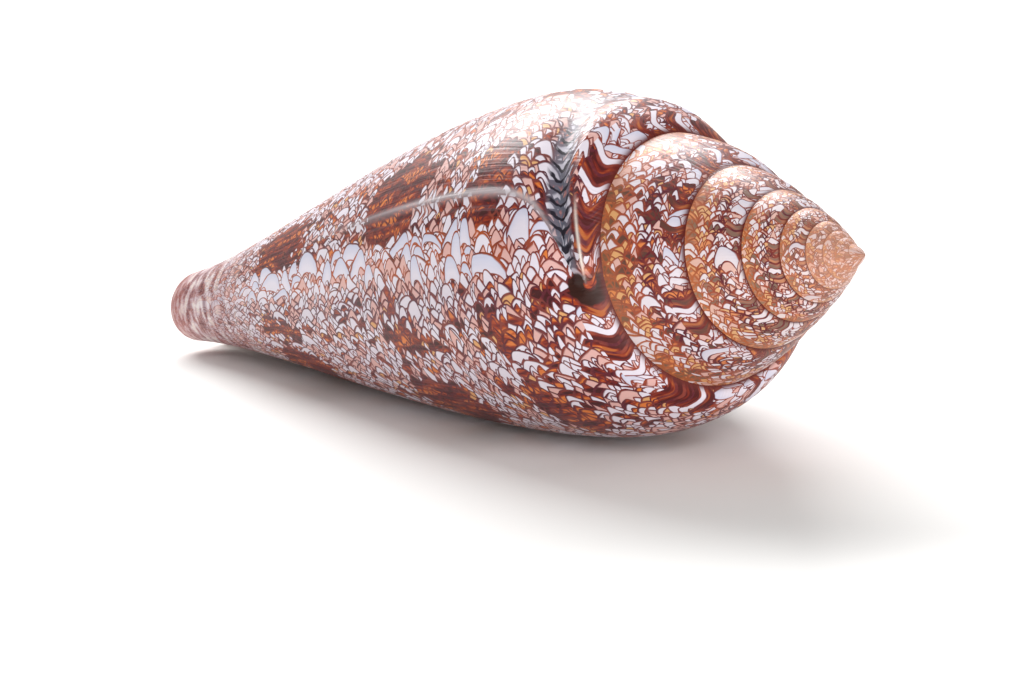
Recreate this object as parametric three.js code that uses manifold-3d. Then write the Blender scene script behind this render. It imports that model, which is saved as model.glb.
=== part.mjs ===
// Shell of a glory of the sea cone, lying on the side of its body whorl with the aperture under it.
// Millimetres, +Z up. The tall spire points to +X, the narrow front end to -X.
// Distances "from the apex" run along the axis of coiling. Growth is counted in whorls: 0 is the lip,
// -1 is one whorl earlier. Polar angles are seen from the apex: 0 is up, 90 is +Y, 180 is down.
import * as THREE from 'three';
import { LoftGeometry } from 'three/addons/geometries/LoftGeometry.js';
import { mergeVertices } from 'three/addons/utils/BufferGeometryUtils.js';
import Module from 'manifold-3d';

// Overall size
const SHELL_LENGTH = 110;
const LIP_RADIUS = 22;
const LIP_DEPTH = 47;
const APEX_HEIGHT = 0.9;

// Coiling: what one whorl more multiplies the radius and the depth of the shoulder by
const RADIUS_GROWTH = 1.4;
const DEPTH_GROWTH = 1.553;
const WHORLS = 6;
const LIP_ANGLE = THREE.MathUtils.degToRad(131);

// Whorl tops: 0 is a straight cone between two sutures, 1 a quarter of an ellipse
const SPIRE_ROUNDNESS = 0.3;
const OLD_SHOULDER_ROUNDNESS = 1.0;
const LIP_SHOULDER_ROUNDNESS = 0.65;
const ROUNDING_STARTS = -1.4;

// Side of the body whorl, as fractions of its length and of its drop in radius
const SIDE_AXIAL = [0, 0.2, 0.54, 0.84, 1];
const SIDE_RADIAL = [1, 1, 0.55, 0, 0];
const FRONT_RADIUS = 5.4;
const FRONT_GROWTH = 1.9;
const FRONT_ROUNDING = 3;
const LIP_STRAIGHTENS = -0.2;

// Healed break: the growth after it carries a keel along the top of the whorl, with a channel outside
// it. Both wander outwards from the suture and grow lower. Places are shares of the whorl's top.
const BREAK_STARTS = -0.63;
const BREAK_ENDS = -0.6;
const KEEL_FADES = -0.5;
const KEEL_SETTLES = -0.36;
const KEEL_LEFT = 0.35;
const KEEL_FIRST_PLACE = 0.22;
const KEEL_LAST_PLACE = 0.5;
const KEEL_HEIGHT = 0.8;
const KEEL_WIDTH = 0.09;
const CHANNEL_OFFSET = 0.15;
const CHANNEL_DEPTH = 0.9;
const CHANNEL_WIDTH = 0.11;

// Hollow of the last whorls, open along the lip and at the front end
const LIP_WALL = 1.5;
const PARTITION = 0.6;
const FRONT_THICKENING = 0.9;
const FRONT_THICKENS = 50;
const TOP_WALL = 0.9;
const LEAST_GAP = 0.35;
const HOLLOW_WHORLS = 4;
const LIP_OVERSHOOT = 0.01;
const FRONT_OVERSHOOT = 1;
const FRONT_OPEN_UNTIL = -0.55;
const FRONT_CLOSED_FROM = -0.75;
const INNER_END = 88;
const PILLAR_THINNING = 0.45;

// How it lies: the axis rises towards the apex
const REST_TILT = THREE.MathUtils.degToRad(10.3);
const REST_ROLL = THREE.MathUtils.degToRad(-2.6);

// Facets
const SECTIONS = 52;
const TOP_PLACES = [0, 0.12, 0.24, 0.36, 0.48, 0.64, 0.82];
const SIDE_ROWS = 16;
const HOLLOW_ROWS = 8;
const HOLLOW_STEP = 1 / 24;

const { clamp, lerp, smoothstep } = THREE.MathUtils;

const wasm = await Module();
wasm.setup();

// Point of a Bezier curve of any degree, by de Casteljau
function bezier(values, t) {
  let row = values;
  while (row.length > 1) {
    row = row.slice(1).map((value, k) => lerp(row[k], value, t));
  }
  return row[0];
}

function bump(x, centre, width) {
  return Math.exp(-(((x - centre) / width) ** 2));
}

// Shoulder line, which is also the suture of the next whorl, as [depth, radius]
function shoulder(growth) {
  const start = smoothstep(growth, -WHORLS, 1 - WHORLS);
  const depth = APEX_HEIGHT + LIP_DEPTH * DEPTH_GROWTH ** growth;
  const radius = LIP_RADIUS * RADIUS_GROWTH ** growth;
  return [depth * start, radius * start];
}

function roundness(growth) {
  if (growth > -1) {
    return lerp(OLD_SHOULDER_ROUNDNESS, LIP_SHOULDER_ROUNDNESS, growth + 1);
  }
  const rounded = clamp((growth - ROUNDING_STARTS) / (-1 - ROUNDING_STARTS), 0, 1);
  return lerp(SPIRE_ROUNDNESS, OLD_SHOULDER_ROUNDNESS, rounded);
}

// Height of the keel, less the depth of the channel, at a place on the top of a whorl
function keelAndChannel(growth, t) {
  const begun = smoothstep(growth, BREAK_STARTS, BREAK_ENDS);
  const left = lerp(1, KEEL_LEFT, smoothstep(growth, KEEL_FADES, KEEL_SETTLES));
  const wander = smoothstep(growth, BREAK_ENDS, KEEL_SETTLES);
  const place = lerp(KEEL_FIRST_PLACE, KEEL_LAST_PLACE, wander);
  const keel = KEEL_HEIGHT * bump(t, place, KEEL_WIDTH);
  const channel = CHANNEL_DEPTH * bump(t, place + CHANNEL_OFFSET, CHANNEL_WIDTH);
  return begun * left * (keel - channel);
}

// Top of a whorl from its suture (t = 0) out to its shoulder (t = 1)
function whorlTop(growth, t) {
  const [innerDepth, innerRadius] = shoulder(growth - 1);
  const [outerDepth, outerRadius] = shoulder(growth);
  const round = roundness(growth);
  const along = lerp(t, 1 - Math.cos(t * Math.PI / 2), round);
  const out = lerp(t, Math.sin(t * Math.PI / 2), round);
  const raised = keelAndChannel(growth, t) * Math.SQRT1_2;
  const depth = lerp(innerDepth, outerDepth, along) - raised;
  const radius = lerp(innerRadius, outerRadius, out) + raised;
  return [depth, radius];
}

// Side of a whorl from its shoulder (t = 0) to the front end (t = 1)
function whorlSide(growth, t) {
  const [shoulderDepth, shoulderRadius] = shoulder(growth);
  const frontRadius = FRONT_RADIUS * FRONT_GROWTH ** growth;
  const depth = lerp(shoulderDepth, SHELL_LENGTH, bezier(SIDE_AXIAL, t));
  const straight = smoothstep(growth, LIP_STRAIGHTENS, 0);
  const drop = lerp(bezier(SIDE_RADIAL, t), 1 - bezier(SIDE_AXIAL, t), straight);
  const radius = lerp(frontRadius, shoulderRadius, drop);
  return [depth, radius];
}

// Outer radius of the whorl at a depth, for the wall that the hollow leaves
function outerRadiusAt(growth, depth) {
  const profile = depth < shoulder(growth)[0] ? whorlTop : whorlSide;
  let low = 0;
  let high = 1;
  for (let step = 0; step < 24; step++) {
    const middle = (low + high) / 2;
    if (profile(growth, middle)[0] < depth) {
      low = middle;
    } else {
      high = middle;
    }
  }
  return profile(growth, (low + high) / 2)[1];
}

// A point given by depth, radius and growth, with the axis along X and the apex to +X
function placed([depth, radius], growth) {
  const angle = LIP_ANGLE + growth * 2 * Math.PI;
  return new THREE.Vector3(
    SHELL_LENGTH / 2 - depth,
    radius * Math.sin(angle),
    radius * Math.cos(angle),
  );
}

// Rounds the front end off: the radius shrinks over the last few millimetres
function frontRounded([depth, radius]) {
  const over = clamp((depth - SHELL_LENGTH + FRONT_ROUNDING) / FRONT_ROUNDING, 0, 1);
  return [depth, radius * Math.sqrt(1 - over * over)];
}

// Outline of the shell in the half plane that the last whorl reaches at this growth (-1 to 0)
function outerSection(growth) {
  const points = [];
  for (let whorl = WHORLS - 1; whorl >= 0; whorl--) {
    for (const t of TOP_PLACES) {
      points.push(placed(whorlTop(growth - whorl, t), growth));
    }
  }
  return points.concat(sideRows(growth, growth));
}

function sideRows(growth, at) {
  const points = [];
  for (let row = 0; row <= SIDE_ROWS; row++) {
    points.push(placed(frontRounded(whorlSide(growth, row / SIDE_ROWS)), at));
  }
  return points;
}

// Face of the lip: the whorl tops fold back to the suture, the sides to the whorl before
function lipSection() {
  const suture = placed(shoulder(-1), 0);
  const earlierTops = outerSection(0).slice(0, (WHORLS - 1) * TOP_PLACES.length);
  const folded = TOP_PLACES.map(() => suture);
  return earlierTops.concat(folded, sideRows(-1, 0));
}

// Outer and inner edge of the hollow at a depth
function hollowEdges(growth, depth) {
  const reach = Math.min(depth, SHELL_LENGTH);
  const thickening = FRONT_THICKENING * smoothstep(reach, FRONT_THICKENS, SHELL_LENGTH);
  const wall = lerp(PARTITION, LIP_WALL, smoothstep(growth, -1.1, -0.9)) + thickening;
  const outer = outerRadiusAt(growth, reach - TOP_WALL) - wall;
  const thinning = PILLAR_THINNING * smoothstep(reach, INNER_END, SHELL_LENGTH);
  const inner = outerRadiusAt(growth - 1, reach) * (1 - thinning);
  return { outer, inner };
}

// Depth at which the hollow begins under the top of the whorl
function hollowStart(growth) {
  let low = shoulder(growth - 1)[0] + TOP_WALL;
  let high = shoulder(growth)[0];
  for (let step = 0; step < 24; step++) {
    const middle = (low + high) / 2;
    const { outer, inner } = hollowEdges(growth, middle);
    if (outer < inner + LEAST_GAP) {
      low = middle;
    } else {
      high = middle;
    }
  }
  return high;
}

function hollowSection(growth) {
  const open = smoothstep(growth, FRONT_CLOSED_FROM, FRONT_OPEN_UNTIL);
  const end = lerp(INNER_END, SHELL_LENGTH + FRONT_OVERSHOOT, open);
  const start = hollowStart(growth);
  const outerEdge = [];
  const innerEdge = [];
  for (let row = 0; row <= HOLLOW_ROWS; row++) {
    const depth = lerp(start, end, (row / HOLLOW_ROWS) ** 1.6);
    const { outer, inner } = hollowEdges(growth, depth);
    outerEdge.push(placed([depth, Math.max(outer, inner + LEAST_GAP)], growth));
    innerEdge.push(placed([depth, inner], growth));
  }
  return outerEdge.concat(innerEdge.reverse());
}

function solid(loft) {
  const bare = new THREE.BufferGeometry();
  bare.setAttribute('position', loft.attributes.position);
  bare.setIndex(loft.index);
  const merged = mergeVertices(bare, 1e-4);
  const index = merged.index.array;
  const triangles = [];
  for (let k = 0; k < index.length; k += 3) {
    const [a, b, c] = [index[k], index[k + 1], index[k + 2]];
    if (a !== b && b !== c && c !== a) {
      triangles.push(a, b, c);
    }
  }
  return new wasm.Manifold(new wasm.Mesh({
    numProp: 3,
    vertProperties: new Float32Array(merged.attributes.position.array),
    triVerts: new Uint32Array(triangles),
  }));
}

const outerSections = [lipSection()];
for (let k = SECTIONS; k >= 0; k--) {
  outerSections.push(outerSection(k / SECTIONS - 1));
}
const outside = solid(new LoftGeometry(outerSections, { closed: false }));

const hollowSections = [];
for (let growth = LIP_OVERSHOOT; growth > -HOLLOW_WHORLS; growth -= HOLLOW_STEP) {
  hollowSections.push(hollowSection(growth));
}
const hollow = solid(new LoftGeometry(hollowSections, { capStart: true, capEnd: true }));

const carved = outside.subtract(hollow).getMesh();
const geometry = new THREE.BufferGeometry();
geometry.setAttribute('position', new THREE.BufferAttribute(carved.vertProperties, 3));
geometry.setIndex(new THREE.BufferAttribute(carved.triVerts, 1));
geometry.rotateX(REST_ROLL);
geometry.rotateY(-REST_TILT);
geometry.computeBoundingBox();
const box = geometry.boundingBox;
const middle = box.getCenter(new THREE.Vector3());
geometry.translate(-middle.x, -middle.y, -box.min.z);

const shellMaterial = new THREE.MeshStandardMaterial({ color: 0xb98a72, roughness: 0.3, metalness: 0 });
const shell = new THREE.Mesh(geometry, shellMaterial);
shell.name = 'shell';

const part = new THREE.Group();
part.add(shell);

export default part;
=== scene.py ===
"""Shell of a glory of the sea cone, lying on a pale floor.

The shell is grown as the animal grows it: one profile is carried round the axis of coiling, and each
whorl covers the side of the one before. Growth is counted in whorls: 0 is the lip, -1 is one whorl
earlier. A place on the outside is 0 to 1 from the suture to the shoulder, then 1 to FRONT_PLACE down
the side. Sizes in the functions are millimetres and are scaled to metres at the end.
"""

import math
from functools import partial

import bmesh
import bpy
import numpy as np
from bpy.props import FloatProperty, FloatVectorProperty, PointerProperty
from bpy.types import Operator, Panel, PropertyGroup
from mathutils import Matrix, Vector


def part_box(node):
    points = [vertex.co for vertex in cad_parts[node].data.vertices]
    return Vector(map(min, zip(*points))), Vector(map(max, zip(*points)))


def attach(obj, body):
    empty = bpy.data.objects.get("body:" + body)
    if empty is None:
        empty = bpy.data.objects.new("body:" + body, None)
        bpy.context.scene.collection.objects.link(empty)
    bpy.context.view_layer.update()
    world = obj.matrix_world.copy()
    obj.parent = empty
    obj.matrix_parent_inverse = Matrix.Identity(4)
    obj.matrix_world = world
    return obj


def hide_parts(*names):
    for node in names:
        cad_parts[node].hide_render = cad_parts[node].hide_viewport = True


bl_info = {
    "name": "Glory of the sea cone shell",
    "version": (1, 0, 0),
    "blender": (4, 5, 0),
    "location": "View3D > Sidebar > Cone shell",
    "description": "Grows a patterned cone shell and sets it on a pale floor",
    "category": "Add Mesh",
}

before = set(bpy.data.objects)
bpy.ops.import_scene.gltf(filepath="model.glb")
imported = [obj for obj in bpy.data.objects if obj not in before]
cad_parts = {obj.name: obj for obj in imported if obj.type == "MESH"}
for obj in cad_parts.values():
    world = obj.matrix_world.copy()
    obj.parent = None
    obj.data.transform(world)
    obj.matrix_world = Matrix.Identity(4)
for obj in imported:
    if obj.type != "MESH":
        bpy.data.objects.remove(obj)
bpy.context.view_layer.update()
SHELL_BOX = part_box("shell")

MM_PER_M = 1000

# Form of the shell in millimetres, as in the solid
LENGTH = 110.0
LIP_RADIUS = 22.0
LIP_DEPTH = 47.0
APEX_HEIGHT = 0.9
RADIUS_GROWTH = 1.4
DEPTH_GROWTH = 1.553
LIP_DEGREES = 131
LIP_ANGLE = math.radians(LIP_DEGREES)
SPIRE_ROUNDNESS = 0.3
OLD_SHOULDER_ROUNDNESS = 1.0
LIP_SHOULDER_ROUNDNESS = 0.65
ROUNDING_STARTS = -1.4
SIDE_AXIAL = (0, 0.2, 0.54, 0.84, 1)
SIDE_RADIAL = (1, 1, 0.55, 0, 0)
FRONT_RADIUS = 5.4
FRONT_GROWTH = 1.9
FRONT_ROUNDING = 3.0
LIP_STRAIGHTENS = -0.2

# Healed break: a keel with a channel outside it
BREAK_STARTS = -0.63
BREAK_ENDS = -0.6
KEEL_FADES = -0.5
KEEL_SETTLES = -0.36
KEEL_LEFT = 0.35
KEEL_FIRST_PLACE = 0.22
KEEL_LAST_PLACE = 0.5
KEEL_WIDTH = 0.09
CHANNEL_OFFSET = 0.15
CHANNEL_DEPTH = 0.9
CHANNEL_WIDTH = 0.11

# Hollow behind the lip
PARTITION = 0.6
FRONT_THICKENING = 0.9
FRONT_THICKENS = 50.0
TOP_WALL = 0.9
LEAST_GAP = 0.35
LIP_OVERSHOOT = 0.01
FRONT_OVERSHOOT = 1.0
FRONT_OPEN_UNTIL = -0.55
FRONT_CLOSED_FROM = -0.75
INNER_END = 88.0
PILLAR_THINNING = 0.45
GLAZE = 0.03
HOLLOW_WHORLS = 4

# How it lies
REST_TILT = math.radians(10.3)
REST_ROLL = math.radians(-2.6)

# How finely it is modelled. The first three whorls are too small for the solid.
WHORLS = 9
COLUMNS = 300
RIM_COLUMNS = 4
TOP_PLACES = (0, 0.05, 0.11, 0.17, 0.23, 0.29, 0.35, 0.41, 0.47, 0.53, 0.59, 0.66, 0.73, 0.8, 0.87, 0.94)
SIDE_ROWS = 92
HOLLOW_ROWS = 22
HOLLOW_COLUMNS = 200
LIP_COLUMNS = 7
LIP_COLUMNS_END = 1.1
FIRST_HOLLOW_STEP = 0.012
ROW_CROWDING = 1.6
RADIUS_HALVINGS = 26
START_HALVINGS = 24
SLOPE_STEP = 0.004
MERGE_MM = 2e-5
SHARP_ANGLE = math.radians(38)

# The flat map: millimetres of growth in a whorl at the shoulder, of a unit of place on the side, and of the
# top at the lip, which is narrower on each older whorl. On the spire the pattern gets finer, half as fast as
# the radius and down to LEAST_SHRINK.
FRONT_PLACE = 5.4
WHORL_MM = 106.8
WIDEST_WHORL_MM = WHORL_MM * 1.2
SIDE_MM = 16.0
TOP_MM = 18.4
TOP_GROWTH = 1.5
SPIRE_RATE = math.log(RADIUS_GROWTH) / 2
LEAST_SHRINK = 0.05
HOLLOW_ROW_MM = 1.5

# The lip's edge is turned over from this place on, and less on its inner side
EDGE_BEGINS = 0.2
INNER_EDGE = 0.8

# Where the healed break lies: its angle on the side, and the notch that it made beside the keel
BREAK_ANGLE = 304
NOTCH_ANGLE = 34
NOTCH_PLACE = 0.2
NOTCH_WIDTH = 0.28

# Its seam: a low rib with a furrow before it, each with its middle and width in millimetres after the break
RIB_MM = (0.15, 0.45)
FURROW_MM = (-0.7, 0.5)
FURROW_SHARE = 0.9
SEAM_BEGINS = (0.1, 0.3)
SEAM_ENDS = (2.2, 3.4)

# The pit at the end of the notch
PIT_PLACE = 0.18
PIT_GROWTH = -0.606
PIT_TOP_MM = 14.4
PIT_DEPTH = 0.6
PIT_RADIUS = 1.9

# Places where the zones of colour begin and end, or the middle and width of one
SHOULDER_BEGINS = (0.8, 0.9)
TOP_ROWS_END = (0.33, 0.4)
BARS_END = (0.31, 0.36)
NET_BEGINS = (0.52, 0.62)
STRIP = (0.46, 0.1)
RIM_WIDTH = 0.2
SUTURE_SHADE_WIDTH = 0.065
SEAM_COLOUR_BEGINS = (0.4, 0.6)
SEAM_COLOUR_ENDS = (1.6, 3.2)
BROWN_BANDS = ((1.0, 0.15), (2.07, 0.32), (3.57, 0.3))
NET_RUNS_OUT = (3.8, 4.8)
TIP_REDDENS = (4.9, 5.25)
WORN_GROWTH = (-4.0, -6.0)

# How far the rows of colour shift from whorl to whorl, in whorls
ROW_SHIFT = 0.13

# The growing edge: its slow wander, its sag by the suture, its V in the channel, its step at the break
WANDER_MM = 10
WANDER_REACH_MM = 2.4
SAG = (0.17, 0.13)
SAG_MM = 2.2
SAG_SETTLES = -0.48
CHANNEL_BEND_MM = 2.8
BREAK_STEP_MM = 0.9

# Tents of each size: height and width in millimetres, roundness and seed, then how sure one is where there is
# neither brown nor white, and what brown and white add to that. The small ones are everywhere.
TENT_INPUTS = ("Height", "Width", "Roundness", "Seed", "Least", "By brown", "By white")
TENT_SIZES = (
    (0.6, 1.1, 1.1, 0.25, 2.0),
    (0.95, 1.9, 1.5, 0.5, 0.08, -0.3, 0.7),
    (1.65, 3.1, 1.9, 0.75, -0.45, -0.5, 1.05),
)

# Shares of pink among the small and the middle tents
PINK_SMALL = 0.42
PINK_MIDDLE = 0.25

# How the tents of one size differ: a row's offset in tents, uneven widths, where the point stands, how much
# rounder and taller one may be. A tent reaches over the next rows, so this many are searched.
ROW_NUMBERS = 1024.0
MOST_OFFSET = 7.31
UNEVEN_TURN = 2.3
UNEVEN_WIDTH = 0.22
POINT_SPREAD = 0.4
ARCH_SPREAD = 1.1
LEAST_TALL = 0.7
TALL_SPREAD = 1.0
ROWS_SEEN = 3

# Multipliers that make a further random number of one that is used already
OWN_DRAW = 29.3
TONE_DRAW = 13.7

# What a group of tents gives at a place: distance in from the outline in mm, rows down from the outline,
# where the row starts in mm, the tent's own three numbers, and the shares of brown and mauve at its middle
FOUND = ("Depth", "Over", "Base", "Tone", "Second", "Third", "Brown", "Mauve")

# Bars, lines and strokes in millimetres. The real lines are 0.1 to 0.2 mm wide, about a pixel, so they are
# drawn about twice as wide, with a soft edge outside the core.
BAR_MM = 1.3
LINE_MM = (0.17, 0.3)
LINE_CORE = 0.45
STROKE_SPACING_MM = 1.5
STROKE_MM = (0.16, 0.3)
CREST_HIGHLIGHT_WIDTH = 0.014
SEAM_MM = (0.35, 0.45)
SHADE_CRESCENT_MM = (2.0, 1.15)
PIT_MIDDLE_MM = 1.6

# Streaks per millimetre along the growth and across it. Real growth lines are 0.1 mm apart, too fine to show,
# and are drawn 0.4 mm apart. The real spiral threads at the front are about 1 mm apart, as drawn.
BROWN_STREAKS = (0.85, 0.22, 1.0)
GROWTH_LINES = (2.6, 0.12, 1.0)
FRONT_THREADS = (0.12, 0.9, 1.0)
FINE_NOISE = {"Scale": 1.0, "Detail": 3.0}

# Natural glaze on aragonite, whose index lies between 1.53 and 1.68, and matt paper
GROWTH_LINE_DEPTH = 0.00005
GLAZE_ROUGHNESS = (0.34, 0.46)
GLAZE_SPECULAR = 0.23
ARAGONITE_IOR = 1.55
PAPER_ROUGHNESS = 0.9

# Stage: each light's place, width and height in metres and share of the key light's power, then the camera
LIGHTS = (
    ("key", (-0.75, 0.4, 0.65), (0.9, 0.4), 1.0),
    ("fill", (1.0, -0.35, 0.35), (0.9, 0.9), 0.6),
)
LIGHTS_AIM = Vector((0, 0, 0.02))
ROOM_LIGHT = 0.4
CAMERA_AT = Vector((0.44205, -0.38714, 0.14006))
CAMERA_AIM = Vector((0.00148, -0.00184, 0.00785))
CAMERA_ROLL = math.radians(-3.19)
LENS_MM = 200.74
SENSOR_MM = 36


def row_stops(*rows):
    """Stops of a colour ramp from rows of polar angle and shares of brown, white and, if any, mauve."""
    return [((angle - LIP_DEGREES) / 360, (*shares, 0.0)[:3]) for angle, *shares in rows]


# Rows round the side of the body whorl: polar angle seen from the apex, then shares of brown, white, mauve
SIDE_ROW_STOPS = row_stops(
    (131, 0.5, 0.3, 0.2), (150, 0.25, 0.6, 0.2), (170, 0.8, 0.2, 0.3), (190, 0.3, 0.5, 0.4),
    (205, 0.5, 0.3, 0.5), (220, 1.0, 0.1, 0.5), (234, 0.9, 0.15, 0.5), (242, 0.25, 0.45, 0.6),
    (250, 0.3, 0.35, 0.6), (257, 0.8, 0.15, 0.2), (266, 0.3, 0.15, 0.7), (275, 0.2, 0.2, 0.6),
    (280, 0.0, 0.95, 0.1), (292, 0.0, 0.95, 0.0), (297, 0.95, 0.1, 0.3), (307, 1.0, 0.1, 0.3),
    (321, 1.0, 0.1, 0.2), (328, 0.25, 0.5, 0.3), (350, 0.3, 0.6, 0.3), (365, 0.8, 0.2, 0.1),
    (380, 0.1, 0.9, 0.1), (400, 0.7, 0.2, 0.3), (415, 0.9, 0.1, 0.2), (430, 0.15, 0.8, 0.2),
    (450, 0.6, 0.3, 0.4), (470, 0.9, 0.1, 0.2), (490, 0.5, 0.3, 0.2),
)

# Bars and broad tents along the suture, in the same way
TOP_ROW_STOPS = row_stops(
    (131, 0.3, 0.6), (150, 0.9, 0.2), (158, 0.1, 0.9), (185, 0.2, 0.9), (195, 0.9, 0.2),
    (202, 0.1, 0.9), (213, 1.0, 0.1), (222, 0.1, 0.9), (242, 0.1, 0.9), (250, 0.9, 0.2),
    (256, 0.0, 1.0), (264, 0.1, 0.8), (272, 0.9, 0.1), (282, 0.5, 0.4), (292, 0.0, 1.0),
    (299, 0.9, 0.1), (308, 0.9, 0.1), (315, 0.1, 0.9), (325, 0.9, 0.1), (332, 0.1, 0.9),
    (352, 0.0, 1.0), (359, 0.95, 0.1), (366, 0.1, 0.9), (373, 0.95, 0.1), (382, 0.1, 0.9),
    (405, 0.9, 0.2), (418, 0.1, 0.9), (445, 0.9, 0.2), (455, 0.1, 0.9), (478, 0.8, 0.2),
    (490, 0.3, 0.6),
)


def linear(hex_colour):
    """An sRGB hex colour as linear red, green and blue."""
    shares = [int(hex_colour[k : k + 2], 16) / 255 for k in (1, 3, 5)]
    return tuple(s / 12.92 if s <= 0.04045 else ((s + 0.055) / 1.055) ** 2.4 for s in shares)


# Colours of the streaks at the front end and in the brown blotches, from dark to light
FRONT_STOPS = [
    (0.34, linear("#6E3236")),
    (0.46, linear("#A46C69")),
    (0.56, linear("#CDB5BA")),
    (0.66, linear("#E6D8D2")),
]
BROWN_STOPS = [
    (0.43, linear("#3E0F06")),
    (0.49, linear("#781F0B")),
    (0.56, linear("#AF4618")),
    (0.63, linear("#DA7A34")),
]


# Form


def smoothstep(x, low, high):
    share = np.clip((x - low) / (high - low), 0, 1)
    return share * share * (3 - 2 * share)


def lerp(a, b, share):
    return a + (b - a) * share


def bell(x, centre, width):
    return np.exp(-(((x - centre) / width) ** 2))


def bezier(values, t):
    row = [np.full_like(t, value) for value in values]
    while len(row) > 1:
        row = [lerp(a, b, t) for a, b in zip(row, row[1:])]
    return row[0]


def shoulder(growth):
    """Depth below the apex and radius of the shoulder line, which is the next whorl's suture."""
    share = np.clip(growth + WHORLS, 0, 1)
    start = share * (2 - share)
    depth = APEX_HEIGHT + LIP_DEPTH * DEPTH_GROWTH**growth
    return depth * start, LIP_RADIUS * RADIUS_GROWTH**growth * start


def whorl_top(growth, t):
    """Depth and radius on the top of a whorl, t from the suture to the shoulder."""
    inner_depth, inner_radius = shoulder(growth - 1)
    outer_depth, outer_radius = shoulder(growth)
    older = np.clip((growth - ROUNDING_STARTS) / (-1 - ROUNDING_STARTS), 0, 1)
    older = lerp(SPIRE_ROUNDNESS, OLD_SHOULDER_ROUNDNESS, older)
    newer = lerp(OLD_SHOULDER_ROUNDNESS, LIP_SHOULDER_ROUNDNESS, growth + 1)
    round_share = np.where(growth > -1, newer, older)
    along = lerp(t, 1 - np.cos(t * math.pi / 2), round_share)
    out = lerp(t, np.sin(t * math.pi / 2), round_share)
    return lerp(inner_depth, outer_depth, along), lerp(inner_radius, outer_radius, out)


def whorl_side(growth, t):
    """Depth and radius on the side of a whorl, t from the shoulder to the front end."""
    depth_0, radius_0 = shoulder(growth)
    front_radius = FRONT_RADIUS * FRONT_GROWTH**growth
    axial = bezier(SIDE_AXIAL, t)
    straight = smoothstep(growth, LIP_STRAIGHTENS, 0)
    drop = lerp(bezier(SIDE_RADIAL, t), 1 - axial, straight)
    return lerp(depth_0, LENGTH, axial), lerp(front_radius, radius_0, drop)


def profile(growth, place):
    """Depth and radius of a place on the outside, without its relief."""
    top = whorl_top(growth, np.clip(place, 0, 1))
    side = whorl_side(growth, np.clip((place - 1) / (FRONT_PLACE - 1), 0, 1))
    return np.where(place < 1, top[0], side[0]), np.where(place < 1, top[1], side[1])


def keel_and_channel(growth, t, keel_height):
    """Height of the keel less the depth of the channel, which wander outwards as they fade."""
    begun = smoothstep(growth, BREAK_STARTS, BREAK_ENDS)
    left = lerp(1, KEEL_LEFT, smoothstep(growth, KEEL_FADES, KEEL_SETTLES))
    wander = smoothstep(growth, BREAK_ENDS, KEEL_SETTLES)
    crest = lerp(KEEL_FIRST_PLACE, KEEL_LAST_PLACE, wander)
    keel = keel_height * bell(t, crest, KEEL_WIDTH)
    channel = CHANNEL_DEPTH * bell(t, crest + CHANNEL_OFFSET, CHANNEL_WIDTH)
    return begun * left * (keel - channel)


def scar_growth(place):
    """Growth at which the healed break crosses a place."""
    return (BREAK_ANGLE - NOTCH_ANGLE * bell(place, NOTCH_PLACE, NOTCH_WIDTH) - LIP_DEGREES) / 360 - 1


def relief(growth, place, sizes):
    """Height of the keel, the channel, the seam and the pit over the plain form."""
    raised = keel_and_channel(growth, place, sizes.keel_height * MM_PER_M)
    after = (growth - scar_growth(place)) * WHORL_MM
    shown = smoothstep(place, *SEAM_BEGINS) * (1 - smoothstep(place, *SEAM_ENDS))
    rib_and_furrow = bell(after, *RIB_MM) - FURROW_SHARE * bell(after, *FURROW_MM)
    seam = sizes.scar_height * MM_PER_M * shown * rib_and_furrow
    off_pit = np.hypot((place - PIT_PLACE) * PIT_TOP_MM, (growth - PIT_GROWTH) * WHORL_MM)
    return raised + seam - PIT_DEPTH * bell(off_pit, 0, PIT_RADIUS)


def outside_point(growth, place, inset, sizes):
    """Depth and radius of a place on the outside with its relief, drawn in by the inset."""
    depth, radius = profile(growth, place)
    depth_a, radius_a = profile(growth, np.clip(place - SLOPE_STEP, 0, FRONT_PLACE))
    depth_b, radius_b = profile(growth, np.clip(place + SLOPE_STEP, 0, FRONT_PLACE))
    out, back = depth_b - depth_a, radius_a - radius_b
    size = np.maximum(np.hypot(out, back), 1e-9)
    raised = relief(growth, place, sizes) - inset
    depth, radius = depth + raised * back / size, radius + raised * out / size
    over = np.clip((depth - LENGTH + FRONT_ROUNDING) / FRONT_ROUNDING, 0, 1)
    return depth, np.maximum(radius, 0) * np.sqrt(1 - over * over)


def placed(depth, radius, growth):
    """Points in millimetres with the axis along X and the apex to +X."""
    angle = LIP_ANGLE + growth * 2 * math.pi
    return np.stack([LENGTH / 2 - depth, radius * np.sin(angle), radius * np.cos(angle)], -1)


def along_mm(growth):
    """Millimetres of growth along the whorl. The spire's pattern is finer, so its whorls count for more."""
    spire = -WHORL_MM * (1 + (1 - np.exp(SPIRE_RATE * np.minimum(growth + 1, 0))) / SPIRE_RATE)
    return np.where(growth > -1, WHORL_MM * growth, spire)


def across_mm(growth, place):
    """Millimetres from the shoulder, above it less than 0, down the side more."""
    top_width = TOP_MM * TOP_GROWTH**growth / np.exp(SPIRE_RATE * np.minimum(growth + 1, 0))
    return np.where(place < 1, (place - 1) * top_width, (place - 1) * SIDE_MM)


# Meshes


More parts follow.
